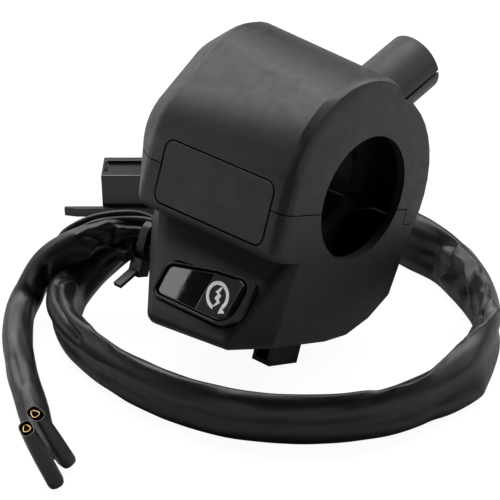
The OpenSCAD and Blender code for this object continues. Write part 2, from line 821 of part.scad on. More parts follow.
// Second tie, round the main sleeve alone
module loom_tie() color("#2a2a2a")
    translate([loom_tie_x, loom_tie_y, loom_tie_z]) rotate([0, 0, loom_tie_turn]) {
    rotate([0, 90, 0]) difference() {
        cylinder(h = tie_w, r = loom_tie_r + tie_t, center = true);
        cylinder(h = 2 * tie_w, r = loom_tie_r, center = true);
    }
    rotate([loom_tie_roll, 0, 0])
        translate([-loom_tie_head / 2, -loom_tie_head / 2, loom_tie_r + tie_t / 2])
            cube(loom_tie_head);
}

// Wires from the branch's end to the closed ends of the boots
module branch_wires() color("#222222") for (b = boot_places) {
    across = [-sin(b[3]), cos(b[3]), 0];
    side = b == boot_places[0] ? 1 : -1;
    foot = spot(b) - across * (boot_w / 2 + nudge);
    start = spot(branch_end) + across * wire_r + wire_spread * side - wire_drop;
    bow = start + wire_bend * (foot - across * wire_bow - start);
    swept(thin([start, bow, foot]), 1, wire_sides);
}

// Vinyl boots that stand on their closed ends, with their mouths up
module at_boots() for (b = boot_places) translate(spot(b)) rotate([0, b[4], b[3]]) children();

module terminal_boots() color("#242424") at_boots() difference() {
    intersection() {
        rotate([90, 0, 0]) linear_extrude(2 * boot_w, center = true) boot_outline(boot_d, boot_end_r);
        rotate([90, 0, 90]) linear_extrude(2 * boot_w, center = true) boot_outline(boot_w, boot_edge);
    }
    translate([0, 0, boot_len - boot_pocket]) linear_extrude(2 * boot_pocket)
        polygon(rounded_box(boot_d - 2 * boot_wall, boot_w - 2 * boot_wall, boot_edge));
}

module boot_outline(w, r)
    polygon(rounded([[-w / 2, -boot_d / 2], [w / 2, -boot_d / 2], [w / 2, boot_len], [-w / 2, boot_len]],
        [r, r, nudge, nudge]));

// Folded brass receptacles inside the boots
module receptacles() color("#c9a04e") at_boots() translate([0, 0, boot_len - boot_pocket])
    linear_extrude(boot_pocket - receptacle_set) difference() {
        receptacle_outline(0);
        receptacle_outline(-receptacle_t);
    }

module receptacle_outline(grow) {
    d = boot_d - 2 * boot_wall - 2 * nudge + 2 * grow;
    w = boot_w - 2 * boot_wall - 2 * nudge + 2 * grow;
    curl = d * receptacle_curl;
    polygon(rounded(box_corners(d, w), [receptacle_r, curl, curl, receptacle_r]));
}

// Multi-way connector on its locking rail, behind the cluster
module at_connector()
    translate([connector_x, connector_y, floor_z]) rotate([0, 0, connector_turn]) children();

module connector_rail() color("#3a3a3a") at_connector() linear_extrude(rail_t)
    polygon([[0, rail_w / 2], [rail_bevel, 0], [rail_len, 0], [rail_len, rail_w], [0, rail_w]]);

module connector_housing() color("#303030") at_connector() translate([block_x, block_y, 0]) difference() {
    cube([block_len, block_w, block_h]);
    translate([block_rim, recess_y, block_h - block_recess])
        cube([block_len - 2 * block_rim, recess_w, block_h]);
    at_ways() translate([-way_depth, 0, 0]) cube([2 * way_depth, way_size, way_size]);
}

module at_ways() for (j = [0 : ways_wide - 1], k = [0 : ways_high - 1])
    translate([0, block_w / 2 + (j - ways_wide / 2) * way_pitch + (way_pitch - way_size) / 2,
        way_low + k * way_pitch]) children();

// Brass terminals, one in each way of the connector
module connector_terminals() color("#c9a04e") at_connector() translate([block_x, block_y, 0]) at_ways()
    translate([way_set, nudge, nudge]) difference() {
        cube([way_depth - way_set - nudge, terminal_w, terminal_w]);
        translate([-terminal_back, terminal_t, terminal_t])
            cube([way_depth - way_set, terminal_w - 2 * terminal_t, terminal_w - 2 * terminal_t]);
    }

// Draw the node that is asked for, or all of them
upper_shell();
lower_shell();
upper_bulkhead();
lower_bulkhead();
blanking_panel();
switch_bezel();
start_button();
pivot_pin();
contact_plunger();
contact_bridge();
return_spring();
switch_base();
fixed_contacts();
base_screws();
clamp_screws();
switch_wires();
main_sleeve();
branch_sleeve();
loom_leads();
exit_tie();
loom_tie();
branch_wires();
terminal_boots();
receptacles();
connector_housing();
connector_rail();
connector_terminals();
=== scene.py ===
# %% [markdown]
# # A throttle-side switch cluster, dressed for its photograph
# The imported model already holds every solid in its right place, in metres. This lesson gives it its looks:
# grained housing plastic, a glossy button with its sign, and the creased vinyl sleeves of the wiring loom.
# The box of the bare model is kept from the start, because the dressed part has to stay inside it.

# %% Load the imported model
import json
import math

import bmesh
import bpy
from mathutils import Matrix, Vector, noise


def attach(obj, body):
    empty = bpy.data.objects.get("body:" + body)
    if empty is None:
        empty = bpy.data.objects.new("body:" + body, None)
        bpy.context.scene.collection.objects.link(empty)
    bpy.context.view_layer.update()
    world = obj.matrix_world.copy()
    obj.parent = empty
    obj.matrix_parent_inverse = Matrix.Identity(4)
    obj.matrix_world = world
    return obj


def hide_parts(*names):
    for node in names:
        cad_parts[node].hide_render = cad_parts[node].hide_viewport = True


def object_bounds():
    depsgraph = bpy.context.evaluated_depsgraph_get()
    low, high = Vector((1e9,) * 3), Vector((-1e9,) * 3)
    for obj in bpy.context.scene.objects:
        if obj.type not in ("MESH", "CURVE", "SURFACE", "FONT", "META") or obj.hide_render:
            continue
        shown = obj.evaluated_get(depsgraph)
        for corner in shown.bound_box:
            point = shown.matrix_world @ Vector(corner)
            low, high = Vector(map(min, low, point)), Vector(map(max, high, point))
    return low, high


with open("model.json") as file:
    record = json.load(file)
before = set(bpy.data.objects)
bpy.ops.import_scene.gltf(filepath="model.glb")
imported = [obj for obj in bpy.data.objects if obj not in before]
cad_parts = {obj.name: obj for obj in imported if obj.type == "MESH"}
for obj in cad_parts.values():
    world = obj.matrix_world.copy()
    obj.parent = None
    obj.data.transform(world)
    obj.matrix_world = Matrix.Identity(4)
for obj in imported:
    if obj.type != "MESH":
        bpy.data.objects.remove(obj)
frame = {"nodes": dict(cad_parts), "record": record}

cad_low, cad_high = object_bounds()
nodes = frame["nodes"]
scene = bpy.context.scene
MM = 0.001
floor_z = cad_low.z
print("nodes:", len(nodes), "box:", [round(v, 4) for v in (*cad_low, *cad_high)])

# %% [markdown]
# ## The camera
# A product photograph is taken from far away with a long lens, so that parallel edges stay almost parallel.
# The place, the turn and the focal length below were fitted to corners of the housing in the photograph.
# The camera looks straight at the middle of the picture, so that it needs no lens shift.

# %% Place the camera
camera_place = Vector((364.5, -383.54, 286.98)) * MM
camera_azimuth = math.radians(42.636)
camera_height = math.radians(31.271)
camera_roll = math.radians(-1.356)
focal_pixels = 2343.8
picture_width = 500
sensor = 36.0

lens = bpy.data.cameras.new("photo_camera")
lens.sensor_width = sensor
lens.lens = focal_pixels * sensor / picture_width
lens.clip_start = 0.01
camera = bpy.data.objects.new("photo_camera", lens)
scene.collection.objects.link(camera)
camera.matrix_world = (
    Matrix.Translation(camera_place)
    @ Matrix.Rotation(camera_azimuth, 4, "Z")
    @ Matrix.Rotation(math.pi / 2 - camera_height, 4, "X")
    @ Matrix.Rotation(camera_roll, 4, "Z")
)
scene.camera = camera
print("camera:", round(lens.lens, 1), "mm lens")

# %% [markdown]
# ## Helpers for meshes
# Every new piece starts as a bmesh and ends as an object at the origin, with its place in its vertices.
# Faces are shaded smooth, and edges that turn by more than a given angle are marked sharp, so that one mesh
# can hold both soft curves and crisp corners.

# %% Mesh helpers
def soften(bm, sharp_angle):
    limit = math.radians(sharp_angle)
    for face in bm.faces:
        face.smooth = True
    for edge in bm.edges:
        edge.smooth = not (edge.is_manifold and edge.calc_face_angle(0) > limit)


def piece(name, bm, body, material, sharp_angle=35):
    soften(bm, sharp_angle)
    mesh = bpy.data.meshes.new(name)
    bm.to_mesh(mesh)
    bm.free()
    mesh.materials.append(material)
    obj = bpy.data.objects.new(name, mesh)
    scene.collection.objects.link(obj)
    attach(obj, body)
    print(name, "faces:", len(mesh.polygons))
    return obj


# %% [markdown]
# ## Helpers for materials
# A material here is a Principled shader with a few texture nodes. Object coordinates are in metres, so a noise
# scale of 1000 gives grains of about a millimetre.

# %% Material helpers
def new_material(name):
    material = bpy.data.materials.new(name)
    material.use_nodes = True
    tree = material.node_tree
    return material, tree, tree.nodes["Principled BSDF"]


def add(tree, kind, **settings):
    made = tree.nodes.new(kind)
    for key, value in settings.items():
        if key in made.inputs:
            made.inputs[key].default_value = value
        else:
            setattr(made, key, value)
    return made


def place_coordinates(tree):
    return add(tree, "ShaderNodeTexCoord").outputs["Object"]


def noise_field(tree, scale, detail=2.0, stretch=(1, 1, 1)):
    turn = add(tree, "ShaderNodeMapping")
    turn.inputs["Scale"].default_value = stretch
    tree.links.new(place_coordinates(tree), turn.inputs["Vector"])
    field = add(tree, "ShaderNodeTexNoise", Scale=scale, Detail=detail)
    tree.links.new(turn.outputs["Vector"], field.inputs["Vector"])
    return field.outputs["Fac"]


def ramp(tree, source, low, high, start=0.3, end=0.7):
    made = add(tree, "ShaderNodeValToRGB")
    made.color_ramp.elements[0].position = start
    made.color_ramp.elements[1].position = end
    made.color_ramp.elements[0].color = (*low, 1) if len(low) == 3 else (low[0],) * 3 + (1,)
    made.color_ramp.elements[1].color = (*high, 1) if len(high) == 3 else (high[0],) * 3 + (1,)
    tree.links.new(source, made.inputs["Fac"])
    return made.outputs["Color"]


def bumped(tree, shader, fields):
    normal = None
    for source, strength, depth in fields:
        bump = add(tree, "ShaderNodeBump", Strength=strength, Distance=depth)
        tree.links.new(source, bump.inputs["Height"])
        if normal:
            tree.links.new(normal, bump.inputs["Normal"])
        normal = bump.outputs["Normal"]
    tree.links.new(normal, shader.inputs["Normal"])


def finish_material(name, dark, light, rough, grain, waves=None, metallic=0.0, specular=0.5, coat=0.0):
    """A moulded or rolled finish: mottled colour, uneven roughness and fine grain."""
    material, tree, shader = new_material(name)
    mottle = noise_field(tree, 140, 4)
    tree.links.new(ramp(tree, mottle, dark, light), shader.inputs["Base Color"])
    tree.links.new(ramp(tree, noise_field(tree, 420, 3), (rough[0],), (rough[1],)), shader.inputs["Roughness"])
    shader.inputs["Metallic"].default_value = metallic
    shader.inputs["Specular IOR Level"].default_value = specular
    shader.inputs["Coat Weight"].default_value = coat
    fields = [(noise_field(tree, grain[0], 3), grain[1], grain[2])]
    if waves:
        fields.append((noise_field(tree, waves[0], 2), waves[1], waves[2]))
    bumped(tree, shader, fields)
    return material


# %% [markdown]
# ## Finishes
# The housing is moulded in black plastic with a fine spark grain, so it shows a grey sheen and no sharp
# reflections. The bezel and the button are polished, the sleeves are soft glossy vinyl, and the terminals
# are bare brass.

# %% Make the finishes
shell_grain = finish_material("shell_grain", (0.020, 0.0195, 0.0185), (0.027, 0.026, 0.025), (0.44, 0.56),
                              (5200, 0.35, 0.00004))
polished_black = finish_material("polished_black", (0.006, 0.006, 0.006), (0.009, 0.009, 0.009), (0.01, 0.03),
                                 (2600, 0.01, 0.00001))
vinyl = finish_material("vinyl", (0.007, 0.007, 0.0072), (0.012, 0.012, 0.012), (0.35, 0.48),
                        (1500, 0.05, 0.00005), (160, 0.25, 0.0004))
tie_black = finish_material("tie_black", (0.018, 0.018, 0.017), (0.03, 0.03, 0.029), (0.34, 0.46),
                            (2400, 0.10, 0.00004))
connector_black = finish_material("connector_black", (0.022, 0.022, 0.022), (0.032, 0.031, 0.030), (0.34, 0.46),
                                  (3000, 0.12, 0.00004))
zinc_steel = finish_material("zinc_steel", (0.48, 0.48, 0.50), (0.62, 0.62, 0.63), (0.25, 0.42),
                             (2200, 0.08, 0.00003), metallic=1.0)
brass = finish_material("brass", (0.62, 0.42, 0.14), (0.80, 0.58, 0.24), (0.22, 0.38),
                        (1800, 0.06, 0.00003), metallic=1.0)
nylon = finish_material("nylon", (0.62, 0.58, 0.48), (0.72, 0.68, 0.58), (0.40, 0.52), (2000, 0.08, 0.00003))
laminate = finish_material("laminate", (0.10, 0.045, 0.02), (0.16, 0.075, 0.03), (0.40, 0.55),
                           (900, 0.10, 0.00005))
sign_white = finish_material("sign_white", (0.92, 0.94, 0.95), (0.96, 0.98, 0.99), (0.30, 0.40),
                             (1800, 0.04, 0.00002))
satin_black = finish_material("satin_black", (0.008, 0.008, 0.008), (0.012, 0.012, 0.012), (0.20, 0.26),
                              (2600, 0.02, 0.00002))
oiled_steel = finish_material("oiled_steel", (0.02, 0.02, 0.02), (0.035, 0.034, 0.033), (0.40, 0.55),
                              (2200, 0.08, 0.00003), metallic=1.0)
slot_finish = {
    "shell_plastic": shell_grain,
    "gloss_black": polished_black,
    "steel": zinc_steel,
    "nylon": nylon,
    "contact_metal": brass,
    "base_board": laminate,
    "vinyl": vinyl,
    "tie_nylon": tie_black,
    "connector_plastic": connector_black,
}
for subpart in frame["record"]["subparts"]:
    mesh = nodes[subpart["node"]].data
    mesh.materials.clear()
    mesh.materials.append(slot_finish[subpart["material_slot"]])
nodes["pivot_pin"].data.materials[0] = oiled_steel
print("finishes:", len(slot_finish) + 3)

# %% [markdown]
# ## The loom's sleeves
# The loom is soft vinyl tube around a few thin wires. It leaves the housing as a round bundle, and once it is
# free it goes flat and stands on its edge, with the wires pressed along its upper side. Each row of a route
# below is a place and the half width and half height of the sleeve there, as in the model, in millimetres.
# The lean of a row, in degrees, pushes the sleeve's lower edge outwards from the loop, or inwards below zero.
# A ring of edges is extruded from one place to the next, so the sleeve is one skin from end to end.

# %% Routes of the loom
def connector_row(back, half_w, half_h):
    turn = math.radians(40)
    along = 36.6 + back
    across = 7.0
    return (
        -54.5 + along * math.cos(turn) - across * math.sin(turn),
        -4.3 + along * math.sin(turn) + across * math.cos(turn),
        floor_z / MM + 6.1, half_w, half_h,
    )


main_route = [
    (6, -22.5, -23.7, 2.4, 2.4), (-3, -22.5, -23.7, 2.4, 2.4), (-9, -23.4, -25.4, 2.8, 2.8),
    (-15.6, -30.5, -30.8, 3.8, 5.4), (-15.4, -41, -35.2, 4.8, 6.8), (-2, -52, -35.6, 3.4, 7),
    (25, -56.4, -35.6, 3, 7), (52, -51, -35.6, 3, 7), (74, -34, -35.6, 3, 7),
    (83.2, -10, -35.6, 3.2, 7), (76.4, 16.6, -34.8, 3.4, 7.8), (53, 34.2, -35.4, 3.4, 7.5),
    (29.8, 39.6, -35.8, 3.2, 7.4), (4, 42, -35.6, 3.2, 6.6), connector_row(14, 3, 4.6), connector_row(4, 3, 3.4),
    connector_row(0.2, 3, 3.2),
]
main_lean = [0, 0, 0, -8, -14, -4, 0, 0, 0, 14, 3, -16, -28, 0, 0, 0, 0]
branch_route = [
    (6, -21, -19.8, 1.7, 1.7), (-3, -21, -19.8, 1.7, 1.7), (-9, -23.4, -20.2, 2.8, 2.5),
    (-14, -30, -21.4, 3.6, 4), (-21.6, -38.5, -26.4, 3.8, 3.9), (-25, -46, -36.4, 4.1, 4),
    (-18, -56, -38.6, 3.8, 3.8), (-4, -68, -38.6, 3.8, 3.8), (10, -77.5, -38.6, 3.8, 3.8),
    (18, -83, -38.8, 3.6, 3.6),
]
branch_lean = [0] * len(branch_route)
lead_routes = [
    [(6, -18.9, -17.7), (-3, -18.9, -17.7), (-9, -21.4, -16.5), (-16, -28, -17.2), (-22.4, -33, -21.6),
     (-26.2, -34.2, -27.8)],
    [(6, -20.5, -17.2), (-3, -20.5, -17.2), (-9, -23.2, -17.4), (-14.6, -29.8, -17.7), (-20.8, -35.3, -22.2),
     (-24.4, -36.8, -25.8)],
]


def smooth_rows(rows, steps):
    """The rows with others between them, on one smooth curve."""
    rows = [Vector(row) for row in rows]
    ends = [rows[0] * 2 - rows[1], *rows, rows[-1] * 2 - rows[-2]]
    made = []
    for a, b, c, d in zip(ends, ends[1:], ends[2:], ends[3:]):
        for i in range(steps):
            t = i / steps
            made.append((2 * b + (c - a) * t + (2 * a - 5 * b + 4 * c - d) * t ** 2
                         + (3 * b - a - 3 * c + d) * t ** 3) / 2)
    return [*made, rows[-1]]


def path_length(points):
    return sum((b - a).length for a, b in zip(points, points[1:]))


print("rows:", len(main_route), len(branch_route))


# %% [markdown]
# The section of a slack sleeve isn't an ellipse: its middle is sucked in a little, and it is creased. A crease
# is a line on the skin, given by how far along and how far round each of its points is, with a width and a
# height; a height below zero makes a hollow. The lines follow the creases that the photograph shows.
# Gathers are the pleats that run out from a tie: where, over what length, how many, how deep and how turned.

# %% Sleeve skin
def upright_frame(points, i, lean):
    ahead = (points[min(i + 1, len(points) - 1)] - points[max(i - 1, 0)]).normalized()
    side = ahead.cross(Vector((0, 0, 1))).normalized()
    up = side.cross(ahead)
    return side * math.cos(lean) + up * math.sin(lean), up * math.cos(lean) - side * math.sin(lean)


def crease_height(creases, along, angle, spread):
    """The sum of the creases at a place on the skin; spread is the length of one degree there."""
    total = 0
    for line, width, height in creases:
        reach = 5 * width
        if not min(p[0] for p in line) - reach < along < max(p[0] for p in line) + reach:
            continue
        nearest = reach
        for (s0, a0), (s1, a1) in zip(line, line[1:] or line):
            run = Vector((s1 - s0, (a1 - a0) * spread))
            here = Vector((along - s0, ((angle - a0 + 180) % 360 - 180) * spread))
            share = min(1, max(0, here.dot(run) / run.length_squared)) if run.length_squared else 0
            nearest = min(nearest, (here - run * share).length)
        total += height * math.exp((0.3 - math.hypot(nearest, 0.3)) / width)
    return total


def gather_height(gathers, along, angle):
    total = 0
    for place, length, count, depth, phase in gathers:
        lobe = abs(math.sin(math.radians(count * angle / 2 + phase)))
        total += depth * (lobe - 0.6) * math.exp(-((along - place) / length) ** 2)
    return total


def sleeve(route, leans, steps, sides, flat, creases, gathers, ripple):
    rows = smooth_rows([(*row, lean) for row, lean in zip(route, leans)], steps)
    points = [row.to_3d() for row in (Vector(r[:3]) for r in rows)]
    bm = bmesh.new()
    ring = bmesh.ops.create_circle(bm, segments=sides, radius=1)["verts"]
    edges = list({edge for vert in ring for edge in vert.link_edges})
    first_edges = edges
    along = 0
    for i, row in enumerate(rows):
        if i:
            made = bmesh.ops.extrude_edge_only(bm, edges=edges)["geom"]
            edges = [item for item in made if isinstance(item, bmesh.types.BMEdge)
                     and all(vert in made for vert in item.verts) and len(item.link_faces) == 1]
            followers = {}
            for vert in ring:
                for edge in vert.link_edges:
                    other = edge.other_vert(vert)
                    if other in made:
                        followers[vert] = other
            ring = [followers[vert] for vert in ring]
            along += (points[i] - points[i - 1]).length
        side, up = upright_frame(points, i, math.radians(row[5]))
        half_w, half_h = row[3], row[4]
        slack = min(1, max(0, half_h / half_w - 1))
        spread = math.radians((half_w + half_h) / 2)
        for k, vert in enumerate(ring):
            angle = 360 * k / sides
            c, s = math.cos(math.radians(angle)), math.sin(math.radians(angle))
            waist = 1 - flat * slack * math.exp(-((s + 0.1) / 0.35) ** 2)
            wave = ripple * noise.noise(Vector((along / 9, 2.2 * c, 2.2 * s)))
            grow = crease_height(creases, along, angle, spread) + gather_height(gathers, along, angle) + wave
            outward = (side * (c / half_w) + up * (s / half_h)).normalized()
            vert.co = (points[i] + side * c * half_w * waist + up * s * half_h + outward * grow) * MM
            vert.co.z = max(vert.co.z, floor_z)
    bmesh.ops.holes_fill(bm, edges=[*first_edges, *edges], sides=sides)
    bmesh.ops.recalc_face_normals(bm, faces=bm.faces)
    return bm, [point * MM for point in points]


main_creases = [
    ([(36, 105), (34, 140)], 2.0, -1.0), ([(42.1, 101), (40.6, 120), (38.1, 139)], 1.0, 0.8),
    ([(41.1, 90), (48.6, 82), (55.5, 60), (63, 38)], 1.6, -1.8), ([(43, 110), (52, 112)], 1.6, 0.6),
    ([(50, 170), (63.9, 115), (67.4, 92), (75, 86)], 0.8, 0.6),
    ([(150, 64), (154, 57), (160, 62), (164, 79), (171, 94), (176.6, 103), (179.3, 86), (184.7, 71), (192.5, 49)], 0.8, 0.8),
    ([(147, 100), (154, 96), (162, 100), (174, 118), (180, 108)], 2.2, -1.6), ([(188.2, 105), (185.6, 82)], 1.2, -1.4), ([(193.4, 82)], 2.5, 0.8),
    ([(201.4, 105)], 2.2, -1.2), ([(207.2, 112)], 2.0, 0.7), ([(174, 318)], 6.0, 2.2), ([(160, 300)], 4.0, -1.0),
    ([(223.8, 112), (222.1, 146), (223, 184), (225, 208)], 0.9, 1.3),
    ([(226.5, 128), (231, 150), (233.4, 180), (231, 208)], 3.2, -2.4), ([(219.5, 172), (214.9, 166), (212, 190)], 2.0, -1.6),
    ([(220.4, 139), (216.8, 131), (211.1, 146), (205.3, 158), (204.3, 184)], 0.8, 1.1), ([(221, 106), (213, 94)], 1.5, 0.4),
]
branch_creases = [
    ([(11.2, 205), (14.5, 155), (17.6, 140), (19.1, 150)], 0.8, 0.9),
    ([(19.7, 120), (20.7, 110), (23.2, 120), (26.1, 120), (28.5, 125)], 1.0, 0.8),
    ([(19.4, 147), (19.7, 195), (20.7, 220)], 1.0, -1.2), ([(26.1, 132), (24.4, 152), (23.2, 172), (23.2, 225)], 1.2, -1.4),
    ([(21.5, 240), (23.4, 205), (24.4, 183), (26.1, 195), (27.6, 215), (30.5, 228), (33.1, 232), (37.5, 228), (39.6, 190)],
     0.9, 1.1),
    ([(39.6, 165), (41.2, 180), (42.3, 195)], 0.8, -1.9), ([(40.6, 158), (44.5, 147)], 1.0, 0.8),
    ([(80, 62), (92, 66)], 1.5, -0.7),
]
main_gathers = [(14, 7, 6, 1.2, 20)]
branch_gathers = [(14, 7, 5, 1.2, 60)]
main_bm, main_path = sleeve(main_route, main_lean, 32, 96, 0.3, main_creases, main_gathers, 0.2)
main_loom = piece("main_loom", main_bm, "housing", vinyl, 60)
branch_bm, branch_path = sleeve(branch_route, branch_lean, 26, 72, 0.0, branch_creases, branch_gathers, 0.25)
branch_loom = piece("branch_loom", branch_bm, "housing", vinyl, 60)
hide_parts("main_sleeve")
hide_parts("branch_sleeve")


# %% [markdown]
# The two thin leads are plain round wire, so each is a curve with a round bevel along its own centreline.
# A curve keeps its own centreline, which is what a cord is measured by.

# %% Thin leads
def lead(name, route, radius):
    points = smooth_rows(route, 8)
    curve = bpy.data.curves.new(name, "CURVE")
    curve.dimensions = "3D"
    curve.bevel_depth = radius * MM
    curve.bevel_resolution = 4
    curve.use_fill_caps = True
    line = curve.splines.new("POLY")
    line.points.add(len(points) - 1)
    for spot, point in zip(line.points, points):
        spot.co = (*(point * MM), 1)
    line.use_smooth = True
    curve.materials.append(vinyl)
    obj = bpy.data.objects.new(name, curve)
    scene.collection.objects.link(obj)
    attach(obj, "housing")
    return obj, [point * MM for point in points]


lead_radius = 0.8
for number, route in enumerate(lead_routes, 1):
    wire, wire_path = lead(f"thin_lead_{number}", route, lead_radius)
    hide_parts("loom_leads")

print("main sleeve:", round(path_length(main_path), 3), "m; branch:", round(path_length(branch_path), 3), "m")

# %% [markdown]
# ## Housing shells
# The model's shells are made of flat facets. A copy whose doubled points are merged can be shaded smooth,
# with its true corners kept sharp. The shells keep those corners plain; the panel and the ties get a fine bevel
# on them, which catches the light as a moulded edge does.

# %% Dress the housing
def even_normals(obj):
    """Flat faces stay flat to the eye; the small ones between them take the turn."""
    even = obj.modifiers.new("even", "WEIGHTED_NORMAL")
    even.keep_sharp = True


def dressed_copy(node, name, body, material, sharp_angle, bevel):
    bm = bmesh.new()
    bm.from_mesh(nodes[node].data)
    bmesh.ops.remove_doubles(bm, verts=bm.verts, dist=0.002 * MM)
    obj = piece(name, bm, body, material, sharp_angle)
    if bevel:
        edge = obj.modifiers.new("edge", "BEVEL")
        edge.width = bevel * MM
        edge.segments = 2
        edge.limit_method = "ANGLE"
        edge.angle_limit = math.radians(40)
        edge.harden_normals = False
    even_normals(obj)
    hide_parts(node)
    return obj


upper_case = dressed_copy("upper_shell", "upper_case", "housing", shell_grain, 25, 0)
lower_case = dressed_copy("lower_shell", "lower_case", "housing", shell_grain, 25, 0)
dressed_copy("blanking_panel", "front_panel", "housing", shell_grain, 25, 0.25)
dressed_copy("exit_tie", "exit_strap", "housing", tie_black, 30, 0.2)
dressed_copy("loom_tie", "loom_strap", "housing", tie_black, 30, 0.2)

# %% [markdown]
# ## The button
# The button is a polished paddle. Its top is flat at the inboard end, bends at a crease, and climbs to a crest
# at the outboard end. One outline is filled, pulled up to a block and rounded along its upper edge, then cut
# across many times so that its points can follow that climb.

# %% Button and its sign
chin_spot = Vector((29.5, -37.524, -16.873))
chin_across = Vector((1, 0, 0))
chin_up = Vector((0, 0.7547, 0.6561))
chin_out = Vector((0, -0.6561, 0.7547))
climb = [(-12.1, 0.0), (1.7, 0.78), (11.4, 1.86), (12.2, 1.8), (12.9, 1.3), (13.4, 0.5)]


def button_top(u):
    for (u0, w0), (u1, w1) in zip(climb, climb[1:]):
        if u <= u1:
            return w0 + (w1 - w0) * max(0, u - u0) / (u1 - u0)
    return climb[-1][1]


def rounded_outline(corners, radii, steps):
    corners = [Vector(corner) for corner in corners]
    points = []
    for before, corner, after, radius in zip(corners[-1:] + corners, corners, corners[1:] + corners[:1], radii):
        to_a = (before - corner).normalized()
        to_c = (after - corner).normalized()
        half = to_a.angle(to_c) / 2
        centre = corner + (to_a + to_c).normalized() * radius / math.sin(half)
        spoke = corner + to_a * radius / math.tan(half) - centre
        turn = math.pi - 2 * half
        for k in range(steps + 1):
            points.append(centre + Matrix.Rotation(turn * k / steps, 2) @ spoke)
    return points


def to_chin(bm):
    """From the chin's own axes, in millimetres, to the model's frame."""
    for vert in bm.verts:
        u, v, w = vert.co
        vert.co = (chin_spot + chin_across * u + chin_up * v + chin_out * w) * MM
    bmesh.ops.recalc_face_normals(bm, faces=bm.faces)


def flat_face(bm, outline):
    return bm.faces.new([bm.verts.new((point[0], point[1], 0)) for point in outline])


def cut_across(bm, start, end, gap):
    for k in range(1, int((end - start) / gap)):
        geom = [*bm.verts, *bm.edges, *bm.faces]
        bmesh.ops.bisect_plane(bm, geom=geom, plane_co=(start + k * gap, 0, 0), plane_no=(1, 0, 0))


def climb_on(bm, lift):
    for vert in bm.verts:
        if vert.co.z > -1:
            vert.co.z += button_top(vert.co.x) + lift


paddle = rounded_outline([(-12.2, -4.95), (13.0, -4.9), (12.8, 6.7), (2.0, 5.75), (-12.2, 2.8)],
                         [2.0, 4.6, 3.4, 20, 1.8], 10)
bm = bmesh.new()
top_face = flat_face(bm, paddle)
sides = bmesh.ops.extrude_face_region(bm, geom=[top_face])["geom"]
bmesh.ops.translate(bm, verts=[v for v in sides if isinstance(v, bmesh.types.BMVert)], vec=(0, 0, -3))
bmesh.ops.recalc_face_normals(bm, faces=bm.faces)
rim = [edge for edge in bm.edges if all(vert.co.z > -1 for vert in edge.verts)]
bmesh.ops.bevel(bm, geom=rim, offset=0.45, offset_type="OFFSET", affect="EDGES", segments=4, profile=0.5, material=-1)
cut_across(bm, -12.1, 13.4, 0.3)
climb_on(bm, 0)
to_chin(bm)
button_face = piece("button_paddle", bm, "button", polished_black, 40)
even_normals(button_face)
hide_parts("start_button")

# %% [markdown]
# The bezel is a collar with a narrow lip that climbs along with the button and is widest at its outboard end.
# Two outlines are joined by a ring of faces, which is pulled down to the collar's depth and rounded on top.

# %% Bezel
inner = rounded_outline([(-12.55, -5.25), (13.3, -5.2), (13.1, 7.0), (2.0, 6.05), (-12.55, 3.1)],
                        [2.2, 4.8, 3.4, 20, 2.0], 10)
outer = rounded_outline([(-13.3, -6.0), (14.6, -5.9), (14.6, 7.5), (2.0, 6.5), (-13.1, 3.5)],
                        [2.6, 5.2, 1.6, 20, 2.4], 10)
bm = bmesh.new()
rings = [[bm.verts.new((point[0], point[1], 0)) for point in outline] for outline in (inner, outer)]
lip_faces = [bm.faces.new((rings[0][k - 1], rings[1][k - 1], rings[1][k], rings[0][k])) for k in range(len(inner))]
collar = bmesh.ops.extrude_face_region(bm, geom=lip_faces)["geom"]
bmesh.ops.translate(bm, verts=[v for v in collar if isinstance(v, bmesh.types.BMVert)], vec=(0, 0, -3.4))
bmesh.ops.recalc_face_normals(bm, faces=bm.faces)
for vert in bm.verts:
    if vert.co.z > -1:
        vert.co.z = 0.35 + 1.35 * (vert.co.x + 12.2) / 25.6
lip_edges = [edge for edge in bm.edges if all(vert.co.z > -1 for vert in edge.verts)
             and any(face.calc_center_median().z < -1 for face in edge.link_faces)]
bmesh.ops.bevel(bm, geom=lip_edges, offset=0.21, offset_type="OFFSET", affect="EDGES", segments=3, profile=0.5,
                material=-1)
to_chin(bm)
bezel = piece("bezel_lip", bm, "housing", satin_black, 40)
even_normals(bezel)
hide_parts("switch_bezel")


# %% [markdown]
# The sign is a thin white print: most of a ring that ends in an arrowhead, round a lightning bolt. Each shape
# is drawn flat, cut across, and laid on the climbing top.

# %% Sign
def print_on_button(name, outline):
    bm = bmesh.new()
    face = flat_face(bm, outline)
    made = bmesh.ops.extrude_face_region(bm, geom=[face])["geom"]
    bmesh.ops.translate(bm, verts=[v for v in made if isinstance(v, bmesh.types.BMVert)], vec=(0, 0, 0.03))
    cut_across(bm, 0, 12, 0.3)
    climb_on(bm, 0.005)
    to_chin(bm)
    return piece(name, bm, "button", sign_white, 40)


def ring_point(turn, share):
    """A point of the slightly oval ring, at an angle and a share of its size."""
    c, s = math.cos(math.radians(turn)), math.sin(math.radians(turn))
    return Vector((5.8 + share * (3.45 * c + 2.0 * s), 0.55 + share * (0.8 * c - 3.45 * s)))


ring_turns = [-248 + 8 * k for k in range(39)]
ring_outline = [ring_point(t, 1.0) for t in ring_turns] + [ring_point(t, 0.74) for t in reversed(ring_turns)]
print_on_button("sign_ring", ring_outline)
print_on_button("sign_arrow", [(8.6, -3.4), (10.5, -2.7), (8.5, -1.4)])
print_on_button("sign_bolt", [(5.5, 2.9), (4.6, 1.2), (5.6, 1.0), (5.3, -0.3), (6.5, -0.8), (6.1, -2.2), (6.5, -2.2),
                              (7.6, -0.8), (6.7, -0.1), (6.9, 0.9), (5.8, 1.3), (6.0, 2.8)])

# %% [markdown]
# ## Small fittings
# The strap of the exit tie has rack teeth, and the connector and its rail get softened edges. Each boot is a
# row of rounded sections from its closed end to its wider mouth and back down inside, and the terminal in it is
# a curled strip of brass.

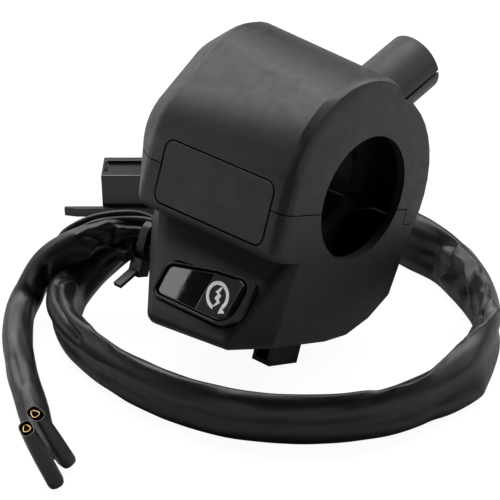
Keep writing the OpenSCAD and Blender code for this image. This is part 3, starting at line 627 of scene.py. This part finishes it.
# %% Ties, boots and connector
def boot_axes(closed, mouth):
    """Along the boot, across its narrow side and across its wide side."""
    along = (mouth - closed).normalized()
    level = along.cross(Vector((0, 0, 1))).normalized()
    narrow = level * math.cos(math.radians(76)) + level.cross(along) * math.sin(math.radians(76))
    return along, narrow, along.cross(narrow)


def boot_ring(bm, place, narrow, wide, half_n, half_w):
    verts = []
    for k in range(32):
        c, s = math.cos(k * math.pi / 16), math.sin(k * math.pi / 16)
        verts.append(bm.verts.new((place + narrow * half_n * math.copysign(abs(c) ** 0.65, c)
                                   + wide * half_w * math.copysign(abs(s) ** 0.65, s)) * MM))
    return verts


def join_rings(bm, rings):
    for a, b in zip(rings, rings[1:]):
        for k in range(len(a)):
            bm.faces.new((a[k - 1], a[k], b[k], b[k - 1]))


boot_spots = [(Vector((32.87, -92.29, -40.9)), Vector((29.1, -96.35, -25.68))),
              (Vector((29.04, -84.91, -40.9)), Vector((26.1, -90.61, -26.02)))]
boot_bm = bmesh.new()
terminal_bm = bmesh.new()
for closed, mouth in boot_spots:
    along, narrow, wide = boot_axes(closed, mouth)
    reach = (mouth - closed).length
    rings = []
    for t in (-1.75, -1.6, -1.3, -0.8, 0, 3, 7, 11, 14, reach):
        round_off = math.sqrt(1 - (t / 1.8) ** 2) if t < 0 else 1
        opening = max(0, (t - 9) / (reach - 9))
        rings.append(boot_ring(boot_bm, closed + along * t, narrow, wide,
                               (2.05 - 0.35 * opening) * round_off, (2.5 + 0.7 * opening) * round_off))
    for t, half_n, half_w in ((reach, 1.45, 2.95), (reach - 7, 1.45, 2.3)):
        rings.append(boot_ring(boot_bm, closed + along * t, narrow, wide, half_n, half_w))
    join_rings(boot_bm, rings)
    boot_bm.faces.new(rings[0])
    boot_bm.faces.new(rings[-1])
    curl = [(-0.75, 0.1), (-0.6, -0.45), (-0.2, -0.75), (0.3, -0.75), (0.7, -0.4), (0.78, 0.1), (0.5, 1.1), (0.15, 1.75),
            (-0.15, 1.75), (-0.5, 1.1)]
    loops = []
    for t, share in ((-5, 1.3), (-0.5, 1.3), (-0.5, 1.08), (-5, 1.08)):
        loops.append([terminal_bm.verts.new((mouth + along * t + narrow * n * share + wide * (0.35 + w * share)) * MM)
                      for n, w in curl])
    join_rings(terminal_bm, loops + loops[:1])
for bm in (boot_bm, terminal_bm):
    bmesh.ops.recalc_face_normals(bm, faces=bm.faces)
boots = piece("boots", boot_bm, "housing", vinyl, 50)
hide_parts("terminal_boots")
terminals = piece("boot_terminals", terminal_bm, "housing", brass, 40)
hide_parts("receptacles")
for number, route in enumerate([
        [(15, -81, -38.6), (18.5, -83.4, -39), (23, -85.4, -40.8), (26, -85.4, -41.3), (29, -84.9, -41.2)],
        [(15, -81, -39.6), (18.5, -84, -40.2), (23, -88, -41.2), (27.5, -90.8, -41.4), (32.4, -92.1, -41.2)]], 1):
    boot_wire, _ = lead(f"boot_wire_{number}", route, 0.8)
    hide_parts("branch_wires")
block = dressed_copy("connector_housing", "connector_block", "housing", satin_black, 30, 0.4)
foot = dressed_copy("connector_rail", "connector_foot", "housing", connector_black, 30, 0.2)

lean = Matrix.Rotation(math.radians(-22), 4, "X")
bm = bmesh.new()
for k in range(5):
    made = bmesh.ops.create_cube(bm, size=1)["verts"]
    bmesh.ops.scale(bm, verts=made, vec=(1.9, 0.36, 0.42))
    bmesh.ops.translate(bm, verts=made, vec=(-3, -15.6, -27.1 - 0.85 * k))
bmesh.ops.bevel(bm, geom=bm.edges[:], offset=0.1, offset_type="OFFSET", affect="EDGES", segments=2, profile=0.5,
                material=-1)
bmesh.ops.transform(bm, matrix=Matrix.Scale(MM, 4) @ lean, verts=bm.verts)
strap_teeth = piece("strap_teeth", bm, "housing", tie_black, 30)

# %% [markdown]
# ## Floor and light
# The object lies on white paper under large soft boxes. The paper is mostly an even white to the camera, also
# through clear things, and otherwise it is a plain pale surface that takes the object's shadow.

# %% Floor and light
def white_to_eye(tree, plain):
    """Mixes a plain surface with an even white that only the eye sees, straight or through clear things."""
    path = add(tree, "ShaderNodeLightPath")
    seen = add(tree, "ShaderNodeMath", operation="MAXIMUM")
    tree.links.new(path.outputs["Is Camera Ray"], seen.inputs[0])
    tree.links.new(path.outputs["Is Transmission Ray"], seen.inputs[1])
    share = add(tree, "ShaderNodeMath", operation="MULTIPLY")
    tree.links.new(seen.outputs[0], share.inputs[0])
    share.inputs[1].default_value = 0.8
    white = add(tree, "ShaderNodeEmission", Color=(1, 1, 1, 1), Strength=1.19)
    mix = add(tree, "ShaderNodeMixShader")
    tree.links.new(share.outputs[0], mix.inputs["Fac"])
    tree.links.new(plain, mix.inputs[1])
    tree.links.new(white.outputs[0], mix.inputs[2])
    return mix.outputs[0]


paper = bpy.data.materials.new("paper")
paper.use_nodes = True
paper_tree = paper.node_tree
paper_shader = paper_tree.nodes["Principled BSDF"]
paper_shader.inputs["Base Color"].default_value = (0.62, 0.62, 0.62, 1)
paper_shader.inputs["Roughness"].default_value = 0.9
paper_out = paper_tree.nodes["Material Output"]
paper_tree.links.new(white_to_eye(paper_tree, paper_shader.outputs[0]), paper_out.inputs["Surface"])

floor_bm = bmesh.new()
bmesh.ops.create_grid(floor_bm, x_segments=1, y_segments=1, size=3)
bmesh.ops.translate(floor_bm, verts=floor_bm.verts, vec=(0, 0, floor_z - 0.0002))
floor_mesh = bpy.data.meshes.new("floor")
floor_bm.to_mesh(floor_mesh)
floor_bm.free()
floor_mesh.materials.append(paper)
floor = bpy.data.objects.new("floor", floor_mesh)
scene.collection.objects.link(floor)

world = bpy.data.worlds.new("studio")
scene.world = world
world.use_nodes = True
sky = world.node_tree.nodes["Background"]
sky_path = add(world.node_tree, "ShaderNodeLightPath")
sky_level = add(world.node_tree, "ShaderNodeMix", data_type="FLOAT")
world.node_tree.links.new(sky_path.outputs["Is Camera Ray"], sky_level.inputs["Factor"])
sky_level.inputs["A"].default_value = 0.01
sky_level.inputs["B"].default_value = 1.0
world.node_tree.links.new(sky_level.outputs["Result"], sky.inputs["Strength"])
sky.inputs["Color"].default_value = (1, 1, 1, 1)


def soft_box(name, direction, distance, width, height, watts):
    """A lamp that looks at the middle of the object from a direction."""
    light = bpy.data.lights.new(name, "AREA")
    light.shape = "RECTANGLE"
    light.size = width
    light.size_y = height
    light.energy = watts
    light.color = (1.0, 0.975, 0.95)
    lamp = bpy.data.objects.new(name, light)
    scene.collection.objects.link(lamp)
    target = (cad_low + cad_high) / 2
    away = Vector(direction).normalized()
    lamp.matrix_world = Matrix.Translation(target + away * distance) @ away.to_track_quat("Z", "Y").to_matrix().to_4x4()
    return lamp


def mirrored(spot, normal):
    """The way in which the camera's line of sight leaves a mirror at a spot."""
    sight = (spot - camera_place).normalized()
    return sight - 2 * sight.dot(normal) * normal


soft_box("top_left", (-0.45, 0.1, 0.88), 0.9, 0.55, 0.55, 5.4)
soft_box("top_back", (-0.1, 0.55, 0.83), 0.9, 0.6, 0.4, 3.2)
soft_box("back", (0.1, 0.85, 0.5), 0.9, 0.6, 0.4, 3.7)
soft_box("left", (-0.9, 0.2, 0.42), 0.9, 0.7, 0.5, 1.8)
soft_box("left_back", (-0.85, 0.45, 0.28), 0.9, 0.5, 0.3, 0.8)
soft_box("front_left", (-0.75, -0.64, 0.14), 0.9, 0.6, 0.2, 0.8)
soft_box("right_back", (0.7, 0.6, 0.4), 0.9, 0.4, 0.4, 1.0)

# %% [markdown]
# The polished button mirrors the edge of a lamp across its inboard third, and a dimmer one beyond its crease.
# Two narrow boxes get those edges right: the line of sight is mirrored at the place on the button where the
# grey patch ends, and each box stands at a distance to the side of the point that this line meets.

# %% Lamps that the button mirrors
patch_end = (chin_spot + chin_across * -5.8 - chin_up * 0.6) * MM
button_normal = (chin_out - chin_across * 0.0565).normalized()
sight_out = mirrored(patch_end, button_normal)
across = (chin_across - sight_out * chin_across.dot(sight_out)).normalized()
strip_axes = Matrix((across, sight_out.cross(across), sight_out)).transposed()
strip_reach, strip_height = 0.9, 0.16
for name, left, right, brightness in [("patch_strip", -0.022, 0, 11.8), ("crest_strip", -0.095, -0.048, 1.0)]:
    watts = brightness * (right - left) * strip_height
    strip = soft_box(name, sight_out, strip_reach, right - left, strip_height, watts)
    strip_place = patch_end + sight_out * strip_reach + across * (left + right) / 2
    strip.matrix_world = Matrix.Translation(strip_place) @ strip_axes.to_4x4()
scene.view_settings.view_transform = "Standard"
